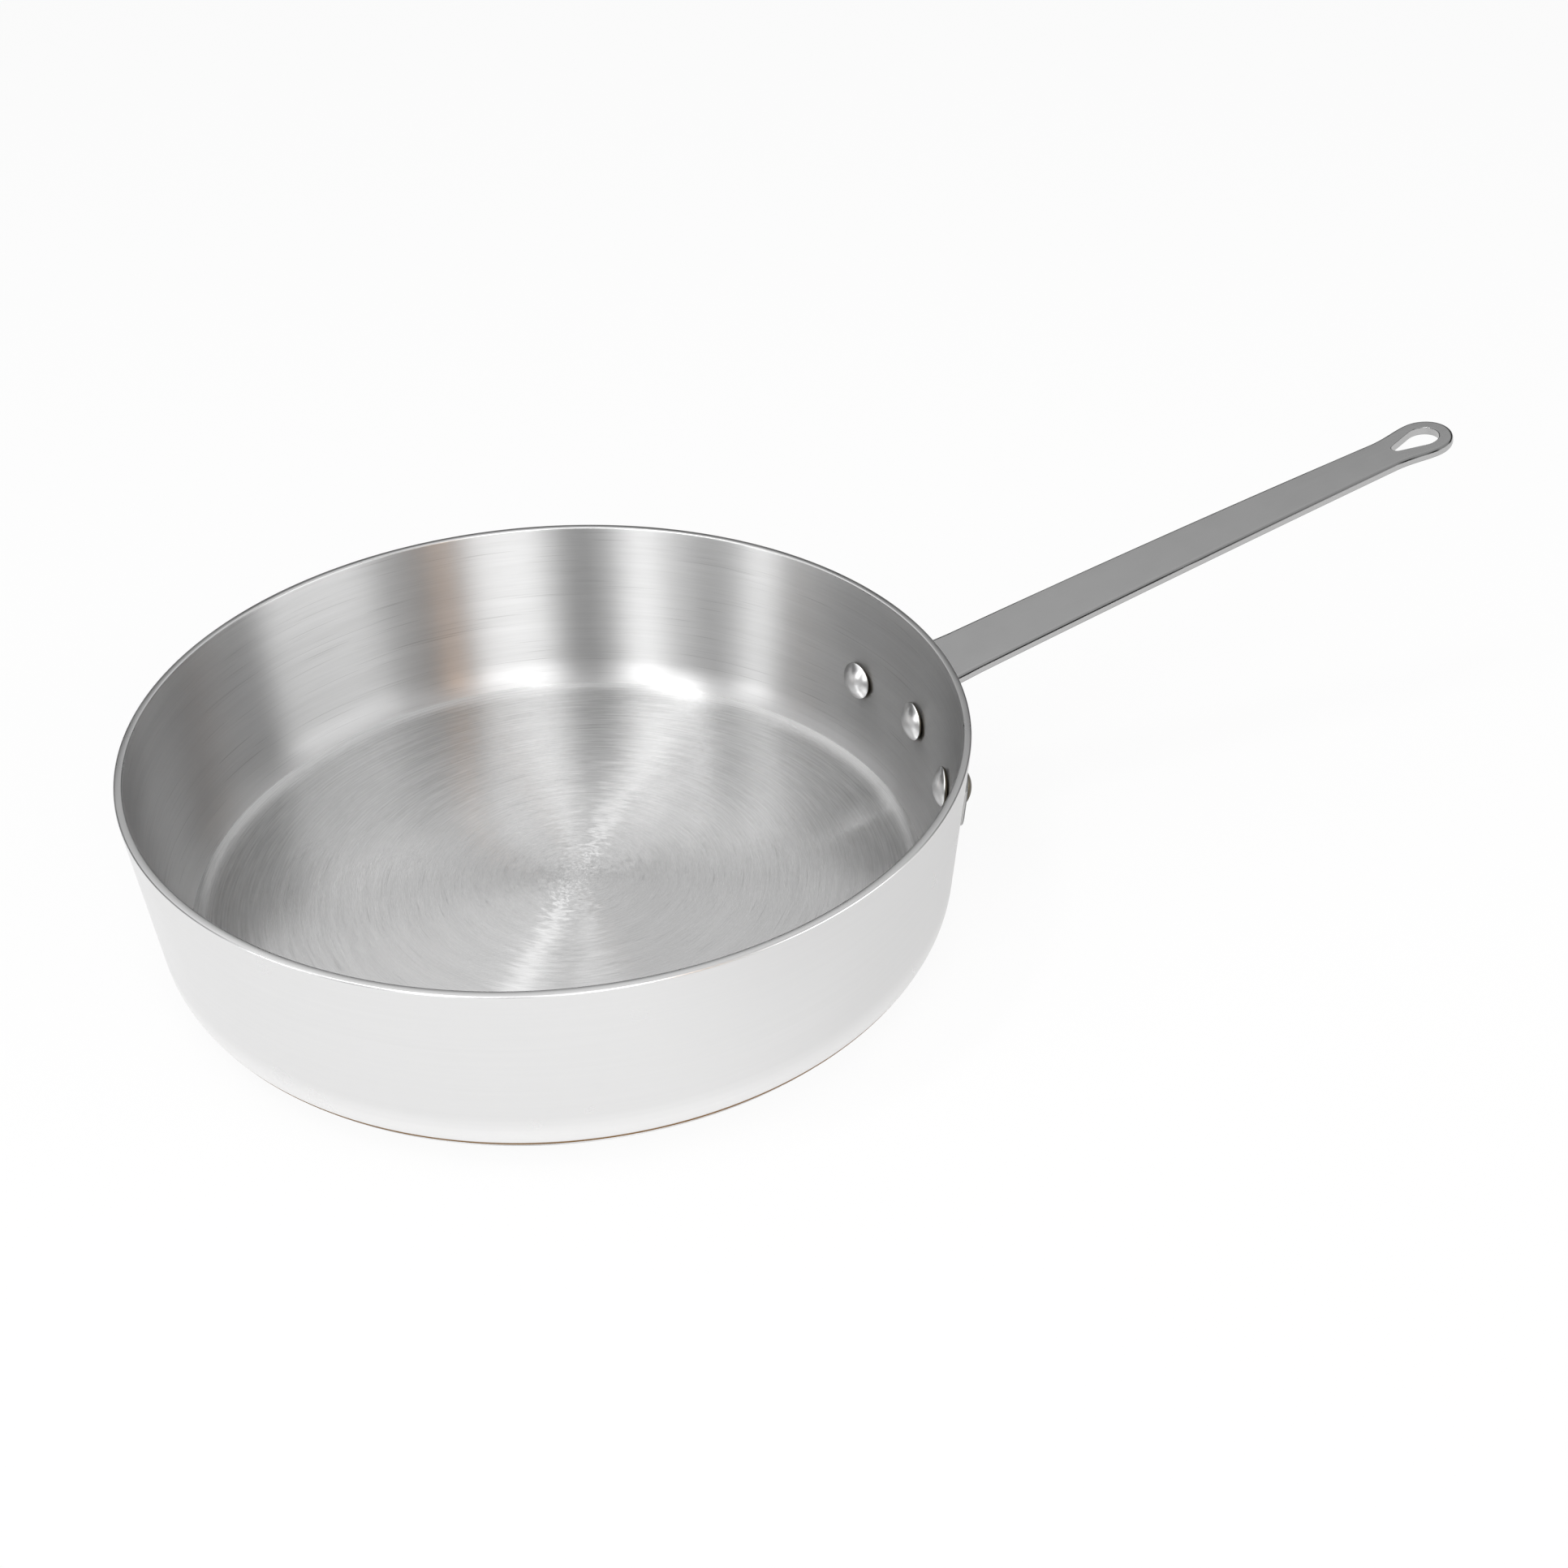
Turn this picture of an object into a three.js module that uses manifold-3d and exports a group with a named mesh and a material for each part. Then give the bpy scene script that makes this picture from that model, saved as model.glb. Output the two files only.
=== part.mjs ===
// Riveted saute pan: a drawn aluminium body, a one-piece stamped steel handle and three solid rivets.
// Millimetres, +Z up. The origin is the middle of the base's underside, and the handle points along +X.

import * as THREE from "three";
import { mergeVertices } from "three/addons/utils/BufferGeometryUtils.js";
import Module from "manifold-3d";

// Pan body
const rimDiameter = 304.8;
const panHeight = 76.5;
const wallThickness = 3.2;
const baseThickness = 3.3;
const wallTaper = THREE.MathUtils.degToRad(4.2); // the wall leans out towards the rim
const cornerRadius = 17; // outside, between base and wall
const rimEdgeRadius = 0.7;

// Handle: one bar, bent once, that spreads into a bracket on the wall
const barThickness = 3.5;
const barEdgeRadius = 0.9;
const bendInnerRadius = 5;
const gripRise = THREE.MathUtils.degToRad(15.9); // above level, at the root
const gripLevelling = THREE.MathUtils.degToRad(1.9); // the grip bows and is this much flatter at its tip
const gripDrop = 12.4; // from the rim down to the grip's top face, where the two would meet
const gripLength = 225; // from the wall to the centre of the ring
const gripRootWidth = 28.5;
const gripMiddleWidth = 24.5;
const gripNeckWidth = 19.4;
const neckLength = 18; // from the narrowest point to the centre of the ring
const ringRadius = 12;

// Hanging hole: a teardrop whose point faces the pan
const holeRadius = 6.5;
const holePointRadius = 2.6;
const holePointReach = 11.4; // between the centres of its two round ends

// Bracket wings, measured from the row of rivets
const wingAbove = 10.5;
const wingBelow = 14;
const wingEnd = 9.8; // past the outer rivets
const wingCornerRadius = 8;
const wingDroop = 3.3; // the outer rivets sit lower than the middle one

// Rivets
const rivetPitch = 43; // along the curve of the wall
const rivetBelowGrip = 24.6; // from the grip's height at the wall down to the middle rivet
const shankDiameter = 8;
const innerHeadDiameter = 15.4;
const innerHeadEdge = 1.2;
const innerHeadDome = 3.2;
const outerHeadDiameter = 12.4;
const outerHeadEdge = 0.6;
const outerHeadDome = 2;

// Clearances
const seatGap = 0.3; // bracket to wall, and rivet heads to what they clamp
const shankGap = 0.3; // rivet shank to its holes, all round
const cutterLengths = 4; // a cutter is this many times as long as what it cuts is thick

// Shares that shape the curves of the bar's outline
const shoulderLift = 0.15; // of the height from wing to bend, where the shoulder leaves the wing
const shoulderSpread = 0.35; // of the wing's reach past the neck, at the same place
const shoulderTurn = 0.25; // of the height from wing to bend, where the shoulder turns up into the neck
const flareStart = 0.4; // of the neck's length, before the outline swells
const flareEnd = 0.3; // of the neck's length, once it has the ring's width

// Facets
const bodySegments = 96;
const cornerSteps = 7;
const rimSteps = 2;
const rivetSegments = 24;
const domeSteps = 5;
const barColumns = 12;
const wingCornerSteps = 5;
const shoulderSteps = 8;
const bendSteps = 8;
const gripSteps = 8;
const neckSteps = 8;
const ringSteps = 10;
const tipAngle = THREE.MathUtils.degToRad(8); // the ring's tip is cut flat over this half angle

const wasm = await Module();
wasm.setup();

// Directions in the upright plane through the pan's axis, written as (radius, height)
const wallUp = new THREE.Vector2(Math.sin(wallTaper), Math.cos(wallTaper));
const wallOut = new THREE.Vector2(Math.cos(wallTaper), -Math.sin(wallTaper));
const gripAlong = new THREE.Vector2(Math.cos(gripRise), Math.sin(gripRise));

const rimRadius = rimDiameter / 2;

function wallRadius(height) {
  return rimRadius - (panHeight - height) * Math.tan(wallTaper);
}

function along(start, direction, distance) {
  return start.clone().addScaledVector(direction, distance);
}

// The bar's upper face runs up the wall, round the bend and out along the grip.
// Distances on that face are counted from the start of the bend: the bracket is negative.
const bendOuterRadius = bendInnerRadius + barThickness;
const bendAngle = Math.PI / 2 - wallTaper - gripRise;
const bendLength = bendOuterRadius * bendAngle;
const bendTangent = bendOuterRadius * Math.tan(bendAngle / 2);
const gripHeight = panHeight - gripDrop;
const gripCorner = along(new THREE.Vector2(wallRadius(gripHeight), gripHeight), wallOut, seatGap);
const bendStart = along(gripCorner, wallUp, -bendTangent);
const bendEnd = along(gripCorner, gripAlong, bendTangent);
const bendCentre = along(bendStart, wallOut, bendOuterRadius);

const rivetRow = (gripHeight - rivetBelowGrip - bendStart.y) / wallUp.y;
const rivetRowRadius = along(bendStart, wallUp, rivetRow).x;
const wingTop = rivetRow + wingAbove;
const wingBottom = rivetRow - wingBelow;
const flatFrom = 2 * bendLength; // from here to the tip the bar is flat across its width
const ringCentre = bendLength + gripLength - bendTangent;
const bowRadius = (gripLength + ringRadius - bendTangent) / gripLevelling;
const bowCentre = along(bendEnd, gripUnder(bendLength), bowRadius);

function toSolid(geometry) {
  const bare = geometry.clone();
  bare.deleteAttribute("normal");
  bare.deleteAttribute("uv");
  const merged = mergeVertices(bare);
  const corners = merged.index.array;
  const triangles = [];
  for (let i = 0; i < corners.length; i += 3) {
    const [a, b, c] = corners.slice(i, i + 3);
    if (a !== b && b !== c && c !== a) triangles.push(a, b, c);
  }
  const vertProperties = new Float32Array(merged.attributes.position.array);
  const triVerts = new Uint32Array(triangles);
  return new wasm.Manifold(new wasm.Mesh({ numProp: 3, vertProperties, triVerts }));
}

function toGeometry(solid) {
  const mesh = solid.getMesh();
  const geometry = new THREE.BufferGeometry();
  geometry.setAttribute("position", new THREE.BufferAttribute(mesh.vertProperties, 3));
  geometry.setIndex(new THREE.BufferAttribute(mesh.triVerts, 1));
  geometry.computeVertexNormals();
  return geometry;
}

function arcPoints(centreX, centreY, radius, fromAngle, toAngle, steps) {
  const clockwise = toAngle < fromAngle;
  const arc = new THREE.EllipseCurve(centreX, centreY, radius, radius, fromAngle, toAngle, clockwise);
  return arc.getPoints(steps);
}

// The body's half section, from the middle of the underside round the rim to the middle of the floor
function bodyProfile() {
  const innerCorner = cornerRadius - wallThickness;
  const outerCentreX = wallRadius(cornerRadius) - cornerRadius / Math.cos(wallTaper);
  const rimWidth = wallThickness / Math.cos(wallTaper);
  const innerWall = (height) => wallRadius(height) - rimWidth;
  const floorCentreY = baseThickness + innerCorner;
  const floorCentreX = innerWall(floorCentreY) - innerCorner / Math.cos(wallTaper);
  const rimTop = panHeight - rimEdgeRadius;
  const rimOuterX = wallRadius(rimTop) - rimEdgeRadius / Math.cos(wallTaper);
  const rimInnerX = innerWall(rimTop) + rimEdgeRadius / Math.cos(wallTaper);
  return [
    new THREE.Vector2(0, 0),
    ...arcPoints(outerCentreX, cornerRadius, cornerRadius, -Math.PI / 2, -wallTaper, cornerSteps),
    ...arcPoints(rimOuterX, rimTop, rimEdgeRadius, -wallTaper, Math.PI / 2, rimSteps),
    ...arcPoints(rimInnerX, rimTop, rimEdgeRadius, Math.PI / 2, Math.PI - wallTaper, rimSteps),
    ...arcPoints(floorCentreX, floorCentreY, innerCorner, -wallTaper, -Math.PI / 2, cornerSteps),
    new THREE.Vector2(0, baseThickness),
  ];
}

function bodyGeometry(rivets) {
  const shell = new THREE.LatheGeometry(bodyProfile(), bodySegments);
  shell.rotateX(Math.PI / 2);
  return toGeometry(drillForRivets(toSolid(shell), rivets));
}

// Half the bar's outline, laid flat, from the bracket's lower edge to the ring's tip: (distance, half width)
function barEdge() {
  const wingHalf = rivetPitch + wingEnd;
  const corner = Math.min(wingCornerRadius, (wingAbove + wingBelow) / 2);
  const cornerHalf = wingHalf - corner;
  const quarter = Math.PI / 2;
  const rootHalf = gripRootWidth / 2;
  const middleHalf = gripMiddleWidth / 2;
  const neckHalf = gripNeckWidth / 2;
  const neck = ringCentre - neckLength;
  const point = (distance, half) => new THREE.Vector2(distance, half);
  const lowerCorner = arcPoints(wingBottom + corner, cornerHalf, corner, Math.PI, quarter, wingCornerSteps);
  const upperCorner = arcPoints(wingTop - corner, cornerHalf, corner, quarter, 0, wingCornerSteps);
  const shoulder = new THREE.CubicBezierCurve(
    point(wingTop, cornerHalf),
    point(wingTop * (1 - shoulderLift), rootHalf + (cornerHalf - rootHalf) * shoulderSpread),
    point(wingTop * (1 - shoulderTurn), rootHalf),
    point(0, rootHalf),
  );
  const bend = new THREE.LineCurve(point(0, rootHalf), point(bendLength, rootHalf));
  const grip = new THREE.QuadraticBezierCurve(
    point(bendLength, rootHalf),
    point((bendLength + neck) / 2, middleHalf * 2 - (rootHalf + neckHalf) / 2),
    point(neck, neckHalf),
  );
  const flare = new THREE.CubicBezierCurve(
    point(neck, neckHalf),
    point(neck + neckLength * flareStart, neckHalf),
    point(ringCentre - neckLength * flareEnd, ringRadius),
    point(ringCentre, ringRadius),
  );
  const ring = arcPoints(ringCentre, 0, ringRadius, quarter, tipAngle, ringSteps);
  return [
    ...lowerCorner,
    ...upperCorner,
    ...shoulder.getPoints(shoulderSteps).slice(1),
    ...bend.getPoints(bendSteps).slice(1),
    ...grip.getPoints(gripSteps).slice(1),
    ...flare.getPoints(neckSteps).slice(1),
    ...ring.slice(1),
  ];
}

// The bar's section with eased edges, as (across, depth below the upper face); an end is thinned by endEase
function barSection(halfWidth, endEase) {
  const flatHalf = halfWidth - barEdgeRadius;
  const eased = barEdgeRadius * (1 - Math.SQRT1_2);
  const upper = [];
  for (let i = 0; i <= barColumns; i++) upper.push([flatHalf * ((2 * i) / barColumns - 1), 0]);
  upper.unshift([-halfWidth, barEdgeRadius], [eased - halfWidth, eased]);
  upper.push([halfWidth - eased, eased], [halfWidth, barEdgeRadius]);
  const lower = upper.map(([across, depth]) => [across, barThickness - depth]).reverse();
  const squeeze = 1 - (2 * endEase) / barThickness;
  return [...upper, ...lower].map(([across, depth]) => [across, endEase + depth * squeeze]);
}

function gripSlope(distance) {
  return gripRise - (distance - bendLength) / bowRadius;
}

// The direction from the grip's upper face to its underside
function gripUnder(distance) {
  return new THREE.Vector2(Math.sin(gripSlope(distance)), -Math.cos(gripSlope(distance)));
}

// Where a point of the bar's section plane lies once the bar is bent, as (radius, height)
function bentPoint(distance, depth) {
  if (distance <= 0) return along(along(bendStart, wallUp, distance), wallOut, depth);
  if (distance >= bendLength) return along(bowCentre, gripUnder(distance), depth - bowRadius);
  const normal = wallOut.clone().rotateAround(new THREE.Vector2(), -distance / bendOuterRadius);
  return along(bendCentre, normal, depth - bendOuterRadius);
}

function droopAt(distance, across) {
  const fade = THREE.MathUtils.clamp(distance / wingTop, 0, 1);
  return wingDroop * fade * (across / rivetPitch) ** 2;
}

// Bracket points wrap round the wall, grip points lie flat, and the bend changes from one to the other
function formedPoint(distance, across, depth) {
  const bent = bentPoint(distance - droopAt(distance, across), depth);
  const flat = new THREE.Vector3(bent.x, across, bent.y);
  const turn = across / rivetRowRadius;
  const wrapped = new THREE.Vector3(bent.x * Math.cos(turn), bent.x * Math.sin(turn), bent.y);
  return wrapped.lerp(flat, THREE.MathUtils.smoothstep(distance, 0, flatFrom));
}

function barGeometry() {
  const edge = barEdge();
  const last = edge.length - 1;
  const positions = [];
  edge.forEach((station, i) => {
    const endEase = i === 0 || i === last ? barEdgeRadius : 0;
    for (const [across, depth] of barSection(station.y, endEase)) {
      positions.push(...formedPoint(station.x, across, depth));
    }
  });
  const count = positions.length / 3 / edge.length;
  const triangles = [];
  for (let ring = 0; ring < last; ring++) {
    for (let i = 0; i < count; i++) {
      const a = ring * count + i;
      const b = ring * count + ((i + 1) % count);
      triangles.push(a, a + count, b, b, a + count, b + count);
    }
  }
  const tip = last * count;
  for (let i = 0; i < count / 2 - 1; i++) {
    const opposite = count - 1 - i;
    triangles.push(i, i + 1, opposite, i + 1, opposite - 1, opposite);
    triangles.push(tip + i, tip + opposite, tip + i + 1, tip + i + 1, tip + opposite, tip + opposite - 1);
  }
  const geometry = new THREE.BufferGeometry();
  geometry.setAttribute("position", new THREE.Float32BufferAttribute(positions, 3));
  geometry.setIndex(triangles);
  return geometry;
}

function hangingHole() {
  const lean = Math.PI / 2 + Math.asin((holeRadius - holePointRadius) / holePointReach);
  const teardrop = new THREE.Shape();
  teardrop.absarc(0, 0, holeRadius, -lean, lean, false);
  teardrop.absarc(-holePointReach, 0, holePointRadius, lean, 2 * Math.PI - lean, false);
  const depth = cutterLengths * barThickness;
  const options = { depth, bevelEnabled: false, curveSegments: ringSteps };
  const cutter = new THREE.ExtrudeGeometry(teardrop, options);
  cutter.translate(0, 0, -depth / 2);
  cutter.rotateY(-gripSlope(ringCentre));
  const centre = bentPoint(ringCentre, barThickness / 2);
  cutter.translate(centre.x, 0, centre.y);
  return cutter;
}

function handleGeometry(rivets) {
  const bar = toSolid(barGeometry()).subtract(toSolid(hangingHole()));
  return toGeometry(drillForRivets(bar, rivets));
}

function domePoints(radius, rise, base, direction) {
  const ball = (radius ** 2 + rise ** 2) / (2 * rise);
  const reach = Math.asin(radius / ball);
  const points = [];
  for (let i = 0; i <= domeSteps; i++) {
    const angle = (reach * i) / domeSteps;
    const height = rise - ball * (1 - Math.cos(angle));
    points.push(new THREE.Vector2(ball * Math.sin(angle), base + direction * height));
  }
  return points;
}

// A rivet's half section, with its axis upright and height 0 on the wall's inner face
function rivetProfile() {
  const shank = shankDiameter / 2;
  const inner = innerHeadDiameter / 2;
  const outer = outerHeadDiameter / 2;
  const wallHollow = inner ** 2 / (2 * (rivetRowRadius - wallThickness)); // under the flat head
  const innerSeat = -seatGap - wallHollow;
  const outerSeat = wallThickness + seatGap + barThickness + seatGap;
  return [
    ...domePoints(inner, innerHeadDome, innerSeat - innerHeadEdge, -1),
    new THREE.Vector2(inner, innerSeat),
    new THREE.Vector2(shank, innerSeat),
    new THREE.Vector2(shank, outerSeat),
    new THREE.Vector2(outer, outerSeat),
    ...domePoints(outer, outerHeadDome, outerSeat + outerHeadEdge, 1).reverse(),
  ];
}

// Each rivet is square to the wall, at its place across the bracket
function placeOnWall(mesh, across) {
  const seat = along(bendStart, wallUp, rivetRow - droopAt(rivetRow, across));
  const inner = along(seat, wallOut, -seatGap - wallThickness);
  mesh.position.set(inner.x, 0, inner.y);
  mesh.rotation.set(0, wallTaper, -Math.PI / 2);
  const spoke = new THREE.Group();
  spoke.rotation.z = across / rivetRowRadius;
  spoke.add(mesh);
  spoke.updateMatrixWorld(true);
  return spoke;
}

function drillForRivets(solid, rivets) {
  const radius = shankDiameter / 2 + shankGap;
  const length = cutterLengths * (wallThickness + barThickness);
  return rivets.reduce((rest, rivet) => {
    const drill = new THREE.CylinderGeometry(radius, radius, length, rivetSegments);
    drill.applyMatrix4(rivet.matrixWorld);
    return rest.subtract(toSolid(drill));
  }, solid);
}

function namedMesh(name, geometry, material) {
  const mesh = new THREE.Mesh(geometry, material);
  mesh.name = name;
  return mesh;
}

function bareMetal(color, roughness) {
  return new THREE.MeshStandardMaterial({ color, roughness, metalness: 1 });
}

const brushedAluminium = () => bareMetal(0xc3c3c1, 0.38);
const platedSteel = () => bareMetal(0xa6a6a4, 0.34);
const polishedAluminium = () => bareMetal(0xd4d4d2, 0.2);

// Left and right are as seen by whoever holds the handle
const rivetPlaces = { rivet_left: -rivetPitch, rivet_middle: 0, rivet_right: rivetPitch };
const rivets = [];
const rivetGroup = new THREE.Group();
for (const [name, across] of Object.entries(rivetPlaces)) {
  const rivet = namedMesh(name, new THREE.LatheGeometry(rivetProfile(), rivetSegments), polishedAluminium());
  rivetGroup.add(placeOnWall(rivet, across));
  rivets.push(rivet);
}

const pan = new THREE.Group();
pan.add(namedMesh("pan_body", bodyGeometry(rivets), brushedAluminium()));
pan.add(namedMesh("handle", handleGeometry(rivets), platedSteel()));
pan.add(rivetGroup);

export default pan;
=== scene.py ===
import math

import bmesh
import bpy
from mathutils import Matrix, Vector
from mathutils.geometry import interpolate_bezier


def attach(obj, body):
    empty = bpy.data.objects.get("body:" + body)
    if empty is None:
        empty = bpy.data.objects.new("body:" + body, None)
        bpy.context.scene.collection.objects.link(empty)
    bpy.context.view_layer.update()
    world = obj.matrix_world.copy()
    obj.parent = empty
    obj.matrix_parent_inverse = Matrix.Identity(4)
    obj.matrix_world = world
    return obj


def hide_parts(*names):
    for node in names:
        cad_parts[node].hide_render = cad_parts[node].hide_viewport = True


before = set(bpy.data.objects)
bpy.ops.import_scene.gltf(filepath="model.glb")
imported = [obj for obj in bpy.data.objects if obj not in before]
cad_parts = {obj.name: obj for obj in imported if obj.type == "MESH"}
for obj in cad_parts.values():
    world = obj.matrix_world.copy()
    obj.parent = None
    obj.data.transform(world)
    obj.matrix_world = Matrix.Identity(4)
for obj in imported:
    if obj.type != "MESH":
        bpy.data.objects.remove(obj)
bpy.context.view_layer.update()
mm = 0.001
weld = 1e-6                             # metres, points closer than this are one
arcProfile = 0.5                        # a bevel with this profile is a round arc
scene = bpy.context.scene
scene.view_settings.view_transform = "Standard"


def hexColour(text):
    parts = [int(text[i:i + 2], 16) / 255 for i in (1, 3, 5)]
    linear = [c / 12.92 if c <= 0.04045 else ((c + 0.055) / 1.055) ** 2.4 for c in parts]
    return (*linear, 1.0)


def addNode(tree, kind, sockets={}, **settings):
    node = tree.nodes.new(kind)
    for name, value in settings.items():
        setattr(node, name, value)
    for name, value in sockets.items():
        if isinstance(value, bpy.types.NodeSocket):
            tree.links.new(value, node.inputs[name])
        else:
            node.inputs[name].default_value = value
    return node


def newMaterial(name):
    material = bpy.data.materials.new(name)
    material.use_nodes = True
    material.node_tree.nodes.clear()
    return material, material.node_tree


def finishMesh(bm, name, materials, smooth=True):
    mesh = bpy.data.meshes.new(name)
    for face in bm.faces:
        face.smooth = smooth
    bm.to_mesh(mesh)
    bm.free()
    for material in materials:
        mesh.materials.append(material)
    piece = bpy.data.objects.new(name, mesh)
    scene.collection.objects.link(piece)
    return piece


# camera: same stand point and lens as the photograph
photoCamera = {
    "lens": 44.52,
    "sensor": 36,                       # mm, square
    "clipStart": 0.01,
    "place": (-0.1338, -0.5804, 0.4580),
    "turn": -21.15,
    "tilt": 55.10,
    "roll": -0.559,
}


def makeCamera():
    c = photoCamera
    data = bpy.data.cameras.new("photoCamera")
    data.sensor_width = c["sensor"]
    data.lens = c["lens"]
    data.clip_start = c["clipStart"]
    camera = bpy.data.objects.new("photoCamera", data)
    scene.collection.objects.link(camera)
    turned = Matrix.Rotation(math.radians(c["turn"]), 4, "Z")
    tilted = Matrix.Rotation(math.radians(c["tilt"]), 4, "X")
    rolled = Matrix.Rotation(math.radians(c["roll"]), 4, "Z")
    camera.matrix_world = Matrix.Translation(c["place"]) @ turned @ tilted @ rolled
    scene.camera = camera


makeCamera()
print("camera set")


# brushed aluminium: fine rings left by abrasive pads while the pan turns on its axis, so the shine spreads
# across the rings and breaks into thin lines along them; burnished lines between the abraded ones mirror the wall
insideFinish = {
    "colour": "#d4d4d4",
    "wallRoughness": (0.38, 0.44),      # burnished lines, abraded lines
    "floorRoughness": (0.2, 0.4),
    "padEdge": 5.7,                     # height in the corner that the floor's pad reaches up to
    "padBlend": 0.2,
    "padCentre": (5.6, 0.5),            # the floor's pad ran a little off the pan's axis
    "anisotropy": 1.0,
    "anisotropyTurn": 0.25,             # of a full turn, so the shine spreads across the rings
    "lineMm": 0.9,                      # real pad lines are about 0.1 mm, drawn coarser so they show
    "lineArcs": 5.0,                    # the more arcs, the shorter the lines round the pan
    "raggedMm": 1.5,                    # coarser lines where a highlight's edge jumps
    "raggedArcs": 6.0,
    "bandMm": 4.0,                      # wider turning marks
    "bandArcs": 1.5,
    "scratchMm": 0.6,                   # single stray scratches
    "scratchArcs": 3.5,
    "scratchPeak": (0.66, 0.74),        # only the pattern's peaks show as scratches
    "scratchTone": 0.82,
    "noiseSpan": (0.35, 0.65),          # most of a noise pattern lies between these
    "lineTone": 0.92,                   # darkest lines
    "lineDepthMm": 0.004,
    "lineContrast": 0.12,               # share by which lines are more burnished or more abraded
    "wallWanderMm": 5.0,                # how far the rings' centre wanders from line to line
    "floorWanderMm": 16.0,
    "centreWanderMm": 34.0,             # the pad leaves no clear rings in the middle
    "centreMm": 34.0,
}


def ringCoordinates(tree, position, pitchMm, arcs):
    flat = addNode(tree, "ShaderNodeVectorMath", {0: position, 1: (1, 1, 0)}, operation="MULTIPLY")
    radius = addNode(tree, "ShaderNodeVectorMath", {0: flat.outputs[0]}, operation="LENGTH")
    spoke = addNode(tree, "ShaderNodeVectorMath", {0: flat.outputs[0]}, operation="NORMALIZE")
    spread = addNode(tree, "ShaderNodeVectorMath", {0: spoke.outputs[0], 1: (arcs, arcs, 0)}, operation="MULTIPLY")
    height = addNode(tree, "ShaderNodeSeparateXYZ", {0: position})
    path = addNode(tree, "ShaderNodeMath", {0: radius.outputs["Value"], 1: height.outputs["Z"]}, operation="ADD")
    lines = addNode(tree, "ShaderNodeMath", {0: path.outputs[0], 1: 1 / (pitchMm * mm)}, operation="MULTIPLY")
    lift = addNode(tree, "ShaderNodeCombineXYZ", {"Z": lines.outputs[0]})
    return addNode(tree, "ShaderNodeVectorMath", {0: spread.outputs[0], 1: lift.outputs[0]}).outputs[0]


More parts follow.
